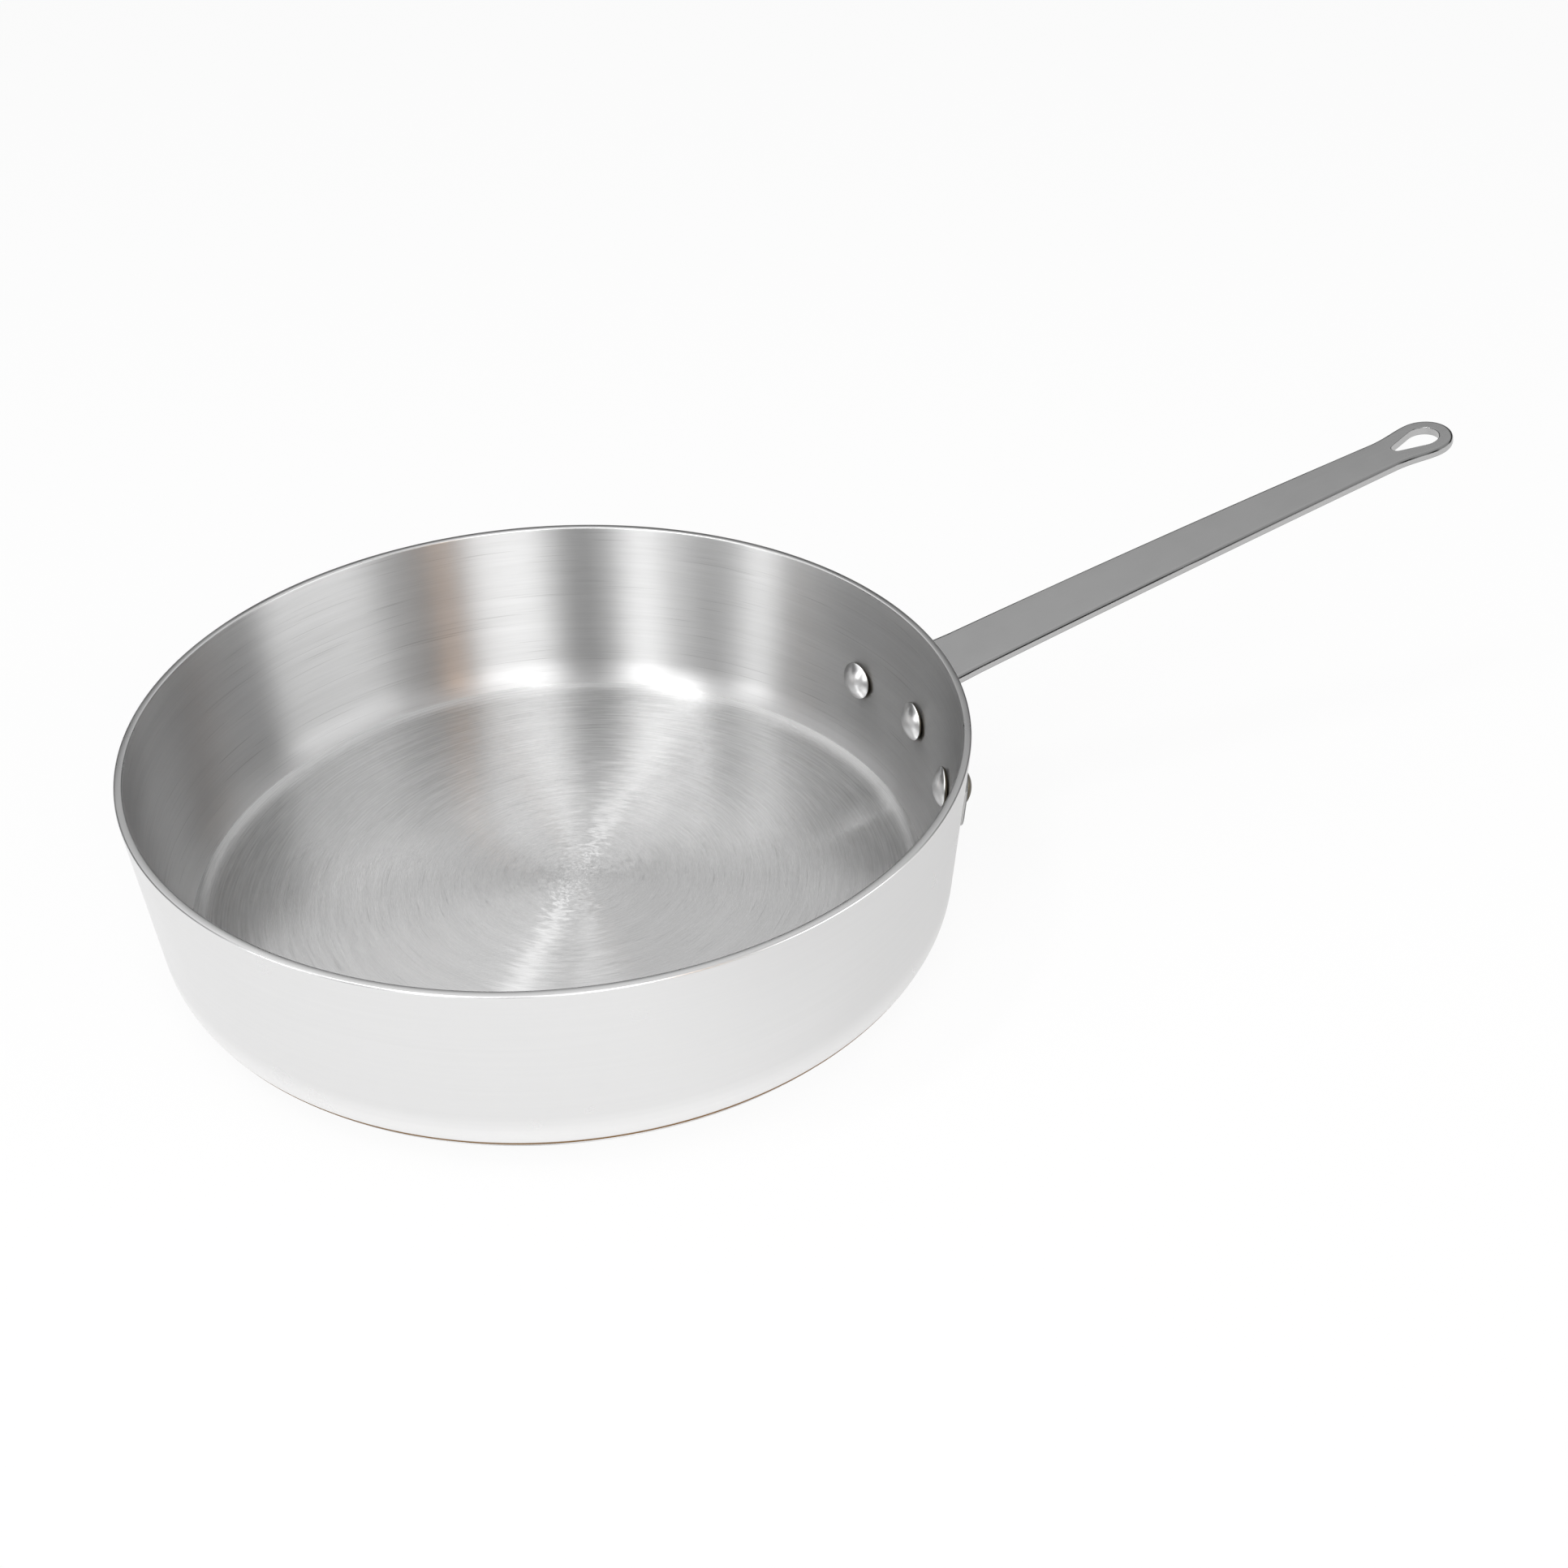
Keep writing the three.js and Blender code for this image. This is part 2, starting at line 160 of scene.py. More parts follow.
def makeInsideAluminium():
    f = insideFinish
    material, tree = newMaterial("brushed_aluminium_inside")
    place = addNode(tree, "ShaderNodeTexCoord")
    height = addNode(tree, "ShaderNodeSeparateXYZ", {0: place.outputs["Object"]})
    inPad = addNode(tree, "ShaderNodeMapRange", {"Value": height.outputs["Z"],
                                                 "From Min": (f["padEdge"] + f["padBlend"]) * mm,
                                                 "From Max": (f["padEdge"] - f["padBlend"]) * mm})
    centre = addNode(tree, "ShaderNodeVectorMath", {0: [c * mm for c in f["padCentre"]] + [0],
                                                    "Scale": inPad.outputs[0]}, operation="SCALE")
    turned = addNode(tree, "ShaderNodeVectorMath", {0: place.outputs["Object"], 1: centre.outputs[0]},
                     operation="SUBTRACT").outputs[0]
    fine = addNode(tree, "ShaderNodeTexNoise", {"Vector": ringCoordinates(tree, turned, f["lineMm"], f["lineArcs"]),
                                                "Scale": 1, "Detail": 2, "Roughness": 0.6})
    bands = addNode(tree, "ShaderNodeTexNoise", {"Vector": ringCoordinates(tree, turned, f["bandMm"], f["bandArcs"]),
                                                 "Scale": 1, "Detail": 2, "Roughness": 0.5})
    strayLines = ringCoordinates(tree, turned, f["scratchMm"], f["scratchArcs"])
    stray = addNode(tree, "ShaderNodeTexNoise", {"Vector": strayLines, "Scale": 1, "Detail": 1, "Roughness": 0.5})
    lines = addNode(tree, "ShaderNodeMath", {0: fine.outputs["Fac"], 1: bands.outputs["Fac"]}, operation="ADD")
    noiseLow, noiseHigh = f["noiseSpan"]
    tone = addNode(tree, "ShaderNodeMapRange", {"Value": lines.outputs[0],
                                                "From Min": noiseLow * 2, "From Max": noiseHigh * 2,
                                                "To Min": f["lineTone"], "To Max": 1.0})
    scratch = addNode(tree, "ShaderNodeMapRange", {"Value": stray.outputs["Fac"],
                                                   "From Min": f["scratchPeak"][0], "From Max": f["scratchPeak"][1],
                                                   "To Min": 1.0, "To Max": f["scratchTone"]})
    tone = addNode(tree, "ShaderNodeMath", {0: tone.outputs[0], 1: scratch.outputs[0]}, operation="MULTIPLY")
    colour = addNode(tree, "ShaderNodeVectorMath", {0: hexColour(f["colour"])[:3], "Scale": tone.outputs[0]},
                     operation="SCALE")
    worn = addNode(tree, "ShaderNodeMapRange", {"Value": fine.outputs["Fac"],
                                                "From Min": noiseLow, "From Max": noiseHigh,
                                                "To Min": 0.5 - f["lineContrast"], "To Max": 0.5 + f["lineContrast"]})
    bump = addNode(tree, "ShaderNodeBump", {"Height": fine.outputs["Fac"], "Strength": 1.0,
                                            "Distance": f["lineDepthMm"] * mm})
    flat = addNode(tree, "ShaderNodeVectorMath", {0: turned, 1: (1, 1, 0)}, operation="MULTIPLY")
    radius = addNode(tree, "ShaderNodeVectorMath", {0: flat.outputs[0]}, operation="LENGTH")
    outwards = addNode(tree, "ShaderNodeMapRange", {"Value": radius.outputs["Value"], "From Max": f["centreMm"] * mm,
                                                    "To Min": f["centreWanderMm"] * mm,
                                                    "To Max": f["floorWanderMm"] * mm})
    wander = addNode(tree, "ShaderNodeMix", {0: inPad.outputs[0], 2: f["wallWanderMm"] * mm, 3: outwards.outputs[0]})
    raggedLines = ringCoordinates(tree, turned, f["raggedMm"], f["raggedArcs"])
    shift = addNode(tree, "ShaderNodeTexNoise", {"Vector": raggedLines, "Scale": 1, "Detail": 1, "Roughness": 0.5})
    shift = addNode(tree, "ShaderNodeVectorMath", {0: shift.outputs["Color"], 1: (0.5, 0.5, 0.5)}, operation="SUBTRACT")
    shift = addNode(tree, "ShaderNodeVectorMath", {0: shift.outputs[0], "Scale": wander.outputs[0]}, operation="SCALE")
    spoke = addNode(tree, "ShaderNodeVectorMath", {0: shift.outputs[0], 1: turned})
    along = addNode(tree, "ShaderNodeVectorMath", {0: (0, 0, 1), 1: spoke.outputs[0]}, operation="CROSS_PRODUCT")
    tangent = addNode(tree, "ShaderNodeVectorMath", {0: along.outputs[0]}, operation="NORMALIZE")
    shades = []
    for wallRoughness, floorRoughness in zip(f["wallRoughness"], f["floorRoughness"]):
        rough = addNode(tree, "ShaderNodeMapRange", {"Value": inPad.outputs[0], "To Min": wallRoughness,
                                                     "To Max": floorRoughness})
        shader = addNode(tree, "ShaderNodeBsdfPrincipled", {
            "Base Color": colour.outputs[0], "Roughness": rough.outputs[0], "Metallic": 1.0,
            "Anisotropic": f["anisotropy"], "Anisotropic Rotation": f["anisotropyTurn"],
            "Tangent": tangent.outputs[0], "Normal": bump.outputs[0]})
        shades.append(shader.outputs[0])
    mixed = addNode(tree, "ShaderNodeMixShader", {"Fac": worn.outputs[0], 1: shades[0], 2: shades[1]})
    addNode(tree, "ShaderNodeOutputMaterial", {"Surface": mixed.outputs[0]})
    return material


# satin aluminium: the outside, chemically brightened; the lower corner is painted lighter as a painted reflection
# of the white floor, and low on it a thin brown line is painted shade and reflection where the pan meets the floor
outsideFinish = {
    "colour": "#e6e6e6",
    "rimTone": 0.74,                    # the cut rim is duller
    "rimZone": (75.9, 76.3),            # zones are heights in mm
    # painted reflection: the lower corner is made lighter, as where it mirrors the white floor
    "cornerPaintedSheen": 1.14,
    "cornerPaintedSheenZone": (12, 24),
    # painted shade: a thin brown line low on the corner, where the pan meets the floor
    "paintedFootShade": "#7a5b34",
    "paintedFootShadeZone": (4.2, 9.8),
    "paintedFootShadeFade": (1.0, 0.4),             # at the zone's foot and top
    "roughness": 0.3,
    "roughnessSpread": 0.03,
    "noiseSpan": (0.3, 0.7),            # most of a noise pattern lies between these
    "lineMm": 1.6,                      # drawing lines, coarser than the real ones so they show
    "lineArcs": 2.0,
    "lineTone": 0.985,
    "lineDepthMm": 0.001,
    "cloudMm": 30.0,
}


def makeOutsideAluminium():
    f = outsideFinish
    material, tree = newMaterial("satin_aluminium_outside")
    place = addNode(tree, "ShaderNodeTexCoord")
    drawn = ringCoordinates(tree, place.outputs["Object"], f["lineMm"], f["lineArcs"])
    fine = addNode(tree, "ShaderNodeTexNoise", {"Vector": drawn, "Scale": 1, "Detail": 2, "Roughness": 0.5})
    cloud = addNode(tree, "ShaderNodeTexNoise", {"Vector": place.outputs["Object"], "Scale": 1 / (f["cloudMm"] * mm),
                                                 "Detail": 2, "Roughness": 0.5})
    height = addNode(tree, "ShaderNodeSeparateXYZ", {0: place.outputs["Object"]})
    noiseLow, noiseHigh = f["noiseSpan"]
    tone = addNode(tree, "ShaderNodeMapRange", {"Value": fine.outputs["Fac"],
                                                "From Min": noiseLow, "From Max": noiseHigh,
                                                "To Min": f["lineTone"], "To Max": 1.0})
    # painted reflection: the lower corner's colour is raised towards the foot
    sheenFoot, sheenTop = f["cornerPaintedSheenZone"]
    corner = addNode(tree, "ShaderNodeMapRange", {"Value": height.outputs["Z"],
                                                  "From Min": sheenFoot * mm, "From Max": sheenTop * mm,
                                                  "To Min": f["cornerPaintedSheen"], "To Max": 1.0},
                     interpolation_type="SMOOTHSTEP")
    rimFoot, rimTop = f["rimZone"]
    rim = addNode(tree, "ShaderNodeMapRange", {"Value": height.outputs["Z"],
                                               "From Min": rimFoot * mm, "From Max": rimTop * mm,
                                               "To Min": 1.0, "To Max": f["rimTone"]})
    tone = addNode(tree, "ShaderNodeMath", {0: tone.outputs[0], 1: corner.outputs[0]}, operation="MULTIPLY")
    tone = addNode(tree, "ShaderNodeMath", {0: tone.outputs[0], 1: rim.outputs[0]}, operation="MULTIPLY")
    wall = addNode(tree, "ShaderNodeVectorMath", {0: hexColour(f["colour"])[:3], "Scale": tone.outputs[0]},
                   operation="SCALE")
    # painted shade: a brown diffuse band low on the corner, where the pan meets the floor
    shadeFoot, shadeTop = f["paintedFootShadeZone"]
    footFade, topFade = f["paintedFootShadeFade"]
    above = addNode(tree, "ShaderNodeMapRange", {"Value": height.outputs["Z"], "From Min": (shadeFoot - footFade) * mm,
                                                 "From Max": (shadeFoot + footFade) * mm})
    below = addNode(tree, "ShaderNodeMapRange", {"Value": height.outputs["Z"], "From Min": (shadeTop + topFade) * mm,
                                                 "From Max": (shadeTop - topFade) * mm})
    paintedFootShadeMask = addNode(tree, "ShaderNodeMath", {0: above.outputs[0], 1: below.outputs[0]}, operation="MULTIPLY")
    rough = addNode(tree, "ShaderNodeMapRange", {"Value": cloud.outputs["Fac"],
                                                 "From Min": noiseLow, "From Max": noiseHigh,
                                                 "To Min": f["roughness"] - f["roughnessSpread"],
                                                 "To Max": f["roughness"] + f["roughnessSpread"]})
    bump = addNode(tree, "ShaderNodeBump", {"Height": fine.outputs["Fac"], "Strength": 1.0,
                                            "Distance": f["lineDepthMm"] * mm})
    shader = addNode(tree, "ShaderNodeBsdfPrincipled", {
        "Base Color": wall.outputs[0], "Roughness": rough.outputs[0], "Metallic": 1.0,
        "Normal": bump.outputs[0]})
    paintedFootShade = addNode(tree, "ShaderNodeBsdfDiffuse", {"Color": hexColour(f["paintedFootShade"])})
    mixed = addNode(tree, "ShaderNodeMixShader", {"Fac": paintedFootShadeMask.outputs[0], 1: shader.outputs[0], 2: paintedFootShade.outputs[0]})
    addNode(tree, "ShaderNodeOutputMaterial", {"Surface": mixed.outputs[0]})
    return material


# pan body: one drawn sheet, spun round its axis
panBody = {
    "rimRadius": 152.4,
    "height": 76.5,
    "wall": 3.2,
    "base": 3.3,
    "taper": 4.2,                       # degrees
    "corner": 17.0,                     # outside radius between base and wall
    "rimEdge": 0.7,
    "turns": 256,
    "cornerSegments": 16,
    "rimSegments": 4,
    "flatMargin": 1.0,                  # keeps a narrow strip beside each rounded corner, so the flats shade flat
    "insideFrom": 0.9,                  # share of the base's thickness, the inside's finish starts above it
    "rimFrom": 0.6,                     # share of the eased edge, from the top down, that has the rim's finish
}


def panProfile():
    p = panBody
    lean = math.tan(math.radians(p["taper"]))
    rimWidth = p["wall"] / math.cos(math.radians(p["taper"]))
    outer = lambda height: p["rimRadius"] - (p["height"] - height) * lean
    inner = lambda height: outer(height) - rimWidth
    outerFlat = p["corner"] + p["flatMargin"]
    innerFlat = p["corner"] - p["wall"] + p["flatMargin"]
    rimFlat = p["height"] - p["rimEdge"] - p["flatMargin"]
    return [
        (0, 0), (outer(0) - outerFlat, 0), (outer(0), 0), (outer(outerFlat), outerFlat),
        (outer(rimFlat), rimFlat), (outer(p["height"]), p["height"]),
        (inner(p["height"]), p["height"]), (inner(rimFlat), rimFlat),
        (inner(p["base"] + innerFlat), p["base"] + innerFlat), (inner(p["base"]), p["base"]),
        (inner(p["base"]) - innerFlat, p["base"]), (0, p["base"]),
    ]


def loopAt(bm, corner):
    radius, height = corner
    found = []
    for edge in bm.edges:
        if all(abs(v.co.xy.length - radius * mm) < weld and abs(v.co.z - height * mm) < weld for v in edge.verts):
            found.append(edge)
    return found


def roundLoop(bm, corner, radius, turn, segments):
    offset = radius * math.tan(math.radians(turn) / 2) * mm
    bmesh.ops.bevel(bm, geom=loopAt(bm, corner), offset=offset, offset_type="OFFSET", segments=segments,
                    profile=arcProfile, affect="EDGES", material=-1, clamp_overlap=False)


def makePanBody(inside, outside):
    p = panBody
    bm = bmesh.new()
    profile = panProfile()
    verts = [bm.verts.new((radius * mm, 0, height * mm)) for radius, height in profile]
    edges = [bm.edges.new(pair) for pair in zip(verts, verts[1:])]
    bmesh.ops.spin(bm, geom=verts + edges, cent=(0, 0, 0), axis=(0, 0, 1), angle=2 * math.pi,
                   steps=p["turns"], use_merge=True)
    bmesh.ops.remove_doubles(bm, verts=bm.verts, dist=weld)
    bmesh.ops.recalc_face_normals(bm, faces=bm.faces)
    steep = 90 - p["taper"]
    roundLoop(bm, profile[2], p["corner"], steep, p["cornerSegments"])
    roundLoop(bm, profile[9], p["corner"] - p["wall"], steep, p["cornerSegments"])
    roundLoop(bm, profile[5], p["rimEdge"], 180 - steep, p["rimSegments"])
    roundLoop(bm, profile[6], p["rimEdge"], steep, p["rimSegments"])
    middle = (profile[5][0] + profile[6][0]) / 2 * mm
    floorLevel = p["base"] * p["insideFrom"] * mm
    rimLevel = (p["height"] - p["rimEdge"] * p["rimFrom"]) * mm
    for face in bm.faces:
        centre = face.calc_center_median()
        wallMiddle = middle - (p["height"] * mm - centre.z) * math.tan(math.radians(p["taper"]))
        isInside = floorLevel < centre.z <= rimLevel and centre.xy.length < wallMiddle
        face.material_index = 0 if isInside else 1
    return finishMesh(bm, "brushedPan", [inside, outside])


pan = makePanBody(makeInsideAluminium(), makeOutsideAluminium())
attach(pan, "root")
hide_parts("pan_body")
print("pan body done:", len(pan.data.polygons), "faces")


# satin plated steel: rolled strip, tumbled and nickel plated, so a soft even shine with faint lengthwise
# rolling lines and a slightly cloudy plate; its rolled edges are painted lighter than the faces, a painted highlight
steelFinish = {
    "face": {"name": "satin_plated_steel", "colour": "#929292", "roughness": 0.2},
    # painted highlight: the same steel, lighter, for the rolled edges
    "edge": {"name": "plated_steel_painted_highlight", "colour": "#cacaca", "roughness": 0.17},
    "roughnessSpread": 0.05,
    "grainMm": (60.0, 0.7, 0.7),        # rolling lines are finer in fact, drawn coarser so they show
    "grainDepthMm": 0.001,
    "cloudMm": 14.0,
    "noiseSpan": (0.3, 0.7),            # most of a noise pattern lies between these
    "darkTone": 0.94,
}


def makePlatedSteel(look):
    f = steelFinish
    material, tree = newMaterial(look["name"])
    place = addNode(tree, "ShaderNodeTexCoord")
    drawn = addNode(tree, "ShaderNodeMapping", {"Vector": place.outputs["Object"],
                                                "Rotation": (0, -math.radians(steelHandle["rise"]), 0),
                                                "Scale": [size * mm for size in f["grainMm"]]},
                    vector_type="TEXTURE")
    grain = addNode(tree, "ShaderNodeTexNoise", {"Vector": drawn.outputs[0], "Scale": 1, "Detail": 3,
                                                 "Roughness": 0.6})
    cloud = addNode(tree, "ShaderNodeTexNoise", {"Vector": place.outputs["Object"], "Scale": 1 / (f["cloudMm"] * mm),
                                                 "Detail": 3, "Roughness": 0.55})
    mixed = addNode(tree, "ShaderNodeMath", {0: grain.outputs["Fac"], 1: cloud.outputs["Fac"]}, operation="ADD")
    noiseLow, noiseHigh = f["noiseSpan"]
    tone = addNode(tree, "ShaderNodeMapRange", {"Value": mixed.outputs[0],
                                                "From Min": noiseLow * 2, "From Max": noiseHigh * 2,
                                                "To Min": f["darkTone"], "To Max": 1.0})
    colour = addNode(tree, "ShaderNodeVectorMath", {0: hexColour(look["colour"])[:3], "Scale": tone.outputs[0]},
                     operation="SCALE")
    rough = addNode(tree, "ShaderNodeMapRange", {"Value": mixed.outputs[0],
                                                 "From Min": noiseLow * 2, "From Max": noiseHigh * 2,
                                                 "To Min": look["roughness"] - f["roughnessSpread"],
                                                 "To Max": look["roughness"] + f["roughnessSpread"]})
    bump = addNode(tree, "ShaderNodeBump", {"Height": grain.outputs["Fac"], "Strength": 1.0,
                                            "Distance": f["grainDepthMm"] * mm})
    shader = addNode(tree, "ShaderNodeBsdfPrincipled", {
        "Base Color": colour.outputs[0], "Roughness": rough.outputs[0], "Metallic": 1.0,
        "Normal": bump.outputs[0]})
    addNode(tree, "ShaderNodeOutputMaterial", {"Surface": shader.outputs[0]})
    return material


# handle: one stamped bar, cut out flat, then bent up the wall and out along the grip
steelHandle = {
    "thick": 3.5,
    "upperEdge": 1.5,                   # the press rolls the outline's upper edge over and leaves the lower one crisp
    "lowerEdge": 0.7,
    "holeEdge": 0.4,
    "bendInner": 5.0,
    "rise": 15.9,                       # degrees above level at the root
    "levelling": 1.9,                   # degrees flatter at the tip, the grip bows
    "drop": 12.4,                       # from the rim to the grip's upper face
    "length": 225.0,                    # from the wall to the ring's centre
    "rootWidth": 28.5,
    "middleWidth": 24.5,
    "neckWidth": 19.4,
    "neck": 18.0,
    "ring": 12.0,
    "tip": 11.8,
    "hole": 6.5,
    "holePoint": 2.6,
    "holeReach": 11.4,
    "wingAbove": 10.5,                  # bracket, from the row of rivets
    "wingBelow": 14.0,
    "wingEnd": 9.8,
    "wingCorner": 8.0,
    "wingDroop": 3.3,                   # the outer rivets sit lower
    "rivetPitch": 43.0,
    "rivetBelowGrip": 24.6,
    "seatGap": 0.3,
    "shoulderPull": (0.85, 0.35, 0.75),     # how the bracket's upper edge sweeps up into the bar
    "flarePull": (0.4, 0.3),            # how the neck widens into the ring
    "outlineSteps": {"wing": 12, "shoulder": 28, "grip": 32, "flare": 20, "tip": 32, "hole": 28, "holePoint": 12},
    "mirrorWeld": 1e-4,
    "sharp": 1.0,                       # radians, corners of the cut outline are sharper
    "holeMargin": 0.1,
    "edgeSegments": 6,
    "paintedHighlightTilt": (-0.2, 0.6),              # faces that tilt between these, down to up, get the lighter steel as a painted highlight
    "columnStep": 3.0,
    "gripStep": 10.0,
    "bendSteps": 24,
    "sliver": 0.02,                     # points closer than this, where cuts cross the rolled edges, become one
}

taper = math.radians(panBody["taper"])
rise = math.radians(steelHandle["rise"])
wallUp = Vector((math.sin(taper), math.cos(taper)))         # directions as (radius, height)
wallOut = Vector((math.cos(taper), -math.sin(taper)))
gripAlong = Vector((math.cos(rise), math.sin(rise)))
bendRadius = steelHandle["bendInner"] + steelHandle["thick"]
bendAngle = math.pi / 2 - taper - rise
bendLength = bendRadius * bendAngle
wrapEnd = 2 * bendLength                                    # from here on the bar is flat across
bendTangent = bendRadius * math.tan(bendAngle / 2)
gripHeight = panBody["height"] - steelHandle["drop"]
wallAtGrip = panBody["rimRadius"] - steelHandle["drop"] * math.tan(taper)
gripCorner = Vector((wallAtGrip, gripHeight)) + wallOut * steelHandle["seatGap"]
bendStart = gripCorner - wallUp * bendTangent               # distances on the bar count from here
bendEnd = gripCorner + gripAlong * bendTangent
bendCentre = bendStart + wallOut * bendRadius
rivetRow = (gripHeight - steelHandle["rivetBelowGrip"] - bendStart.y) / wallUp.y
rivetRowRadius = (bendStart + wallUp * rivetRow).x
wingTop = rivetRow + steelHandle["wingAbove"]
wingBottom = rivetRow - steelHandle["wingBelow"]
ringCentre = bendLength + steelHandle["length"] - bendTangent
bowRadius = (steelHandle["length"] + steelHandle["ring"] - bendTangent) / math.radians(steelHandle["levelling"])


def gripUnder(distance):
    slope = rise - (distance - bendLength) / bowRadius
    return Vector((math.sin(slope), -math.cos(slope)))


def bentPoint(distance, depth):
    if distance <= 0:
        return bendStart + wallUp * distance + wallOut * depth
    if distance >= bendLength:
        return bendEnd + gripUnder(bendLength) * bowRadius + gripUnder(distance) * (depth - bowRadius)
    turn = -taper - distance / bendRadius
    return bendCentre + Vector((math.cos(turn), math.sin(turn))) * (depth - bendRadius)


def droopAt(distance, across):
    return steelHandle["wingDroop"] * min(max(distance / wingTop, 0), 1) * (across / steelHandle["rivetPitch"]) ** 2


def formedPoint(distance, across, depth):
    bent = bentPoint(distance - droopAt(distance, across), depth)
    turn = across / rivetRowRadius                          # the bracket wraps round the wall
    wrapped = Vector((bent.x * math.cos(turn), bent.x * math.sin(turn), bent.y))
    share = min(max(distance / wrapEnd, 0), 1)
    return wrapped.lerp(Vector((bent.x, across, bent.y)), share * share * (3 - 2 * share))


def arcPoints(centre, radii, start, end, steps):
    angles = [math.radians(start + (end - start) * i / steps) for i in range(steps + 1)]
    return [Vector((centre[0] + radii[0] * math.cos(a), centre[1] + radii[1] * math.sin(a), 0)) for a in angles]


def curvePoints(corners, steps):
    return interpolate_bezier(*[Vector((*corner, 0)) for corner in corners], steps + 1)


def halfOutline():
    h = steelHandle
    corner = h["wingCorner"]
    cornerHalf = h["rivetPitch"] + h["wingEnd"] - corner
    root, middle, neckHalf = h["rootWidth"] / 2, h["middleWidth"] / 2, h["neckWidth"] / 2
    neck = ringCentre - h["neck"]
    fallOut, fallIn, sweep = h["shoulderPull"]
    shoulder = [(wingTop, cornerHalf), (wingTop * fallOut, root + (cornerHalf - root) * fallIn),
                (wingTop * sweep, root), (0, root)]
    pull = ((bendLength + neck) / 2, middle * 2 - (root + neckHalf) / 2)
    share = 2 / 3                                           # of the way to the pull, for a curve with one pull
    towards = lambda end: (end[0] + (pull[0] - end[0]) * share, end[1] + (pull[1] - end[1]) * share)
    grip = [(bendLength, root), towards((bendLength, root)), towards((neck, neckHalf)), (neck, neckHalf)]
    leave, arrive = h["flarePull"]
    flare = [(neck, neckHalf), (neck + h["neck"] * leave, neckHalf),
             (ringCentre - h["neck"] * arrive, h["ring"]), (ringCentre, h["ring"])]
    lean = 90 + math.degrees(math.asin((h["hole"] - h["holePoint"]) / h["holeReach"]))
    steps = h["outlineSteps"]
    pointCentre = (ringCentre - h["holeReach"], 0)
    return [
        Vector((wingBottom, 0, 0)),
        *arcPoints((wingBottom + corner, cornerHalf), (corner, corner), 180, 90, steps["wing"]),
        *arcPoints((wingTop - corner, cornerHalf), (corner, corner), 90, 0, steps["wing"]),
        *curvePoints(shoulder, steps["shoulder"])[1:],
        *curvePoints(grip, steps["grip"]),
        *curvePoints(flare, steps["flare"])[1:],
        *arcPoints((ringCentre, 0), (h["tip"], h["ring"]), 90, 0, steps["tip"])[1:],
        *arcPoints((ringCentre, 0), (h["hole"], h["hole"]), 0, lean, steps["hole"]),
        *arcPoints(pointCentre, (h["holePoint"], h["holePoint"]), lean, 180, steps["holePoint"]),
    ]


def barCuts():
    h = steelHandle
    across = h["rivetPitch"] + h["wingEnd"]
    steps = int(across / h["columnStep"])
    columns = [h["columnStep"] * i for i in range(-steps, steps + 1) if i]
    bends = [wrapEnd * i / h["bendSteps"] for i in range(h["bendSteps"] + 1)]
    gripSteps = int((ringCentre + h["tip"] - wrapEnd) / h["gripStep"])
    grips = [wrapEnd + h["gripStep"] * i for i in range(1, gripSteps + 1)]
    return [wingTop, wingTop / 2] + bends + grips, columns


def makeHandle(materials):
    h = steelHandle
    bm = bmesh.new()
    bm.faces.new([bm.verts.new(point) for point in halfOutline()])
    bmesh.ops.mirror(bm, geom=bm.verts[:] + bm.edges[:] + bm.faces[:], axis="Y", merge_dist=h["mirrorWeld"])
    bmesh.ops.recalc_face_normals(bm, faces=bm.faces)
    under = bmesh.ops.extrude_face_region(bm, geom=bm.faces[:])["geom"]
    bmesh.ops.translate(bm, verts=[v for v in under if isinstance(v, bmesh.types.BMVert)], vec=(0, 0, -h["thick"]))
    bmesh.ops.recalc_face_normals(bm, faces=bm.faces)
    stamped = [e for e in bm.edges if e.calc_face_angle(0) > h["sharp"]]
    holeStart = ringCentre - h["holeReach"] - h["holePoint"] - h["holeMargin"]
    holeHalf = h["hole"] + h["holeMargin"]
    inHole = lambda v: holeStart < v.co.x < ringCentre + holeHalf and abs(v.co.y) < holeHalf
    hole = [e for e in stamped if all(inHole(v) for v in e.verts)]
    upper = [e for e in stamped if e not in hole and e.verts[0].co.z > -h["thick"] / 2]
    lower = [e for e in stamped if e not in hole and e not in upper]
    for edges, size in ((upper, h["upperEdge"]), (lower, h["lowerEdge"]), (hole, h["holeEdge"])):
        bmesh.ops.bevel(bm, geom=edges, offset=size, offset_type="OFFSET", segments=h["edgeSegments"],
                        profile=arcProfile, affect="EDGES", material=-1, clamp_overlap=False)
    highlightDown, highlightUp = h["paintedHighlightTilt"]
    # painted highlight: faces that tilt sideways take the lighter steel
    for face in bm.faces:
        face.material_index = 1 if highlightDown < face.normal.z < highlightUp else 0
    stations, columns = barCuts()
    for place, side in [((x, 0, 0), (1, 0, 0)) for x in stations] + [((0, y, 0), (0, 1, 0)) for y in columns]:
        bmesh.ops.bisect_plane(bm, geom=bm.verts[:] + bm.edges[:] + bm.faces[:], plane_co=place, plane_no=side)
    bmesh.ops.remove_doubles(bm, verts=bm.verts, dist=h["sliver"])
    for v in bm.verts:
        v.co = formedPoint(v.co.x, v.co.y, -v.co.z) * mm
    bmesh.ops.recalc_face_normals(bm, faces=bm.faces)
    piece = finishMesh(bm, "steelHandle", materials)
    flats = piece.modifiers.new("flatFaces", "WEIGHTED_NORMAL")
    flats.keep_sharp = False
    return piece


handle = makeHandle([makePlatedSteel(steelFinish[part]) for part in ("face", "edge")])
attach(handle, "root")
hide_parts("handle")
print("handle done:", len(handle.data.polygons), "faces")


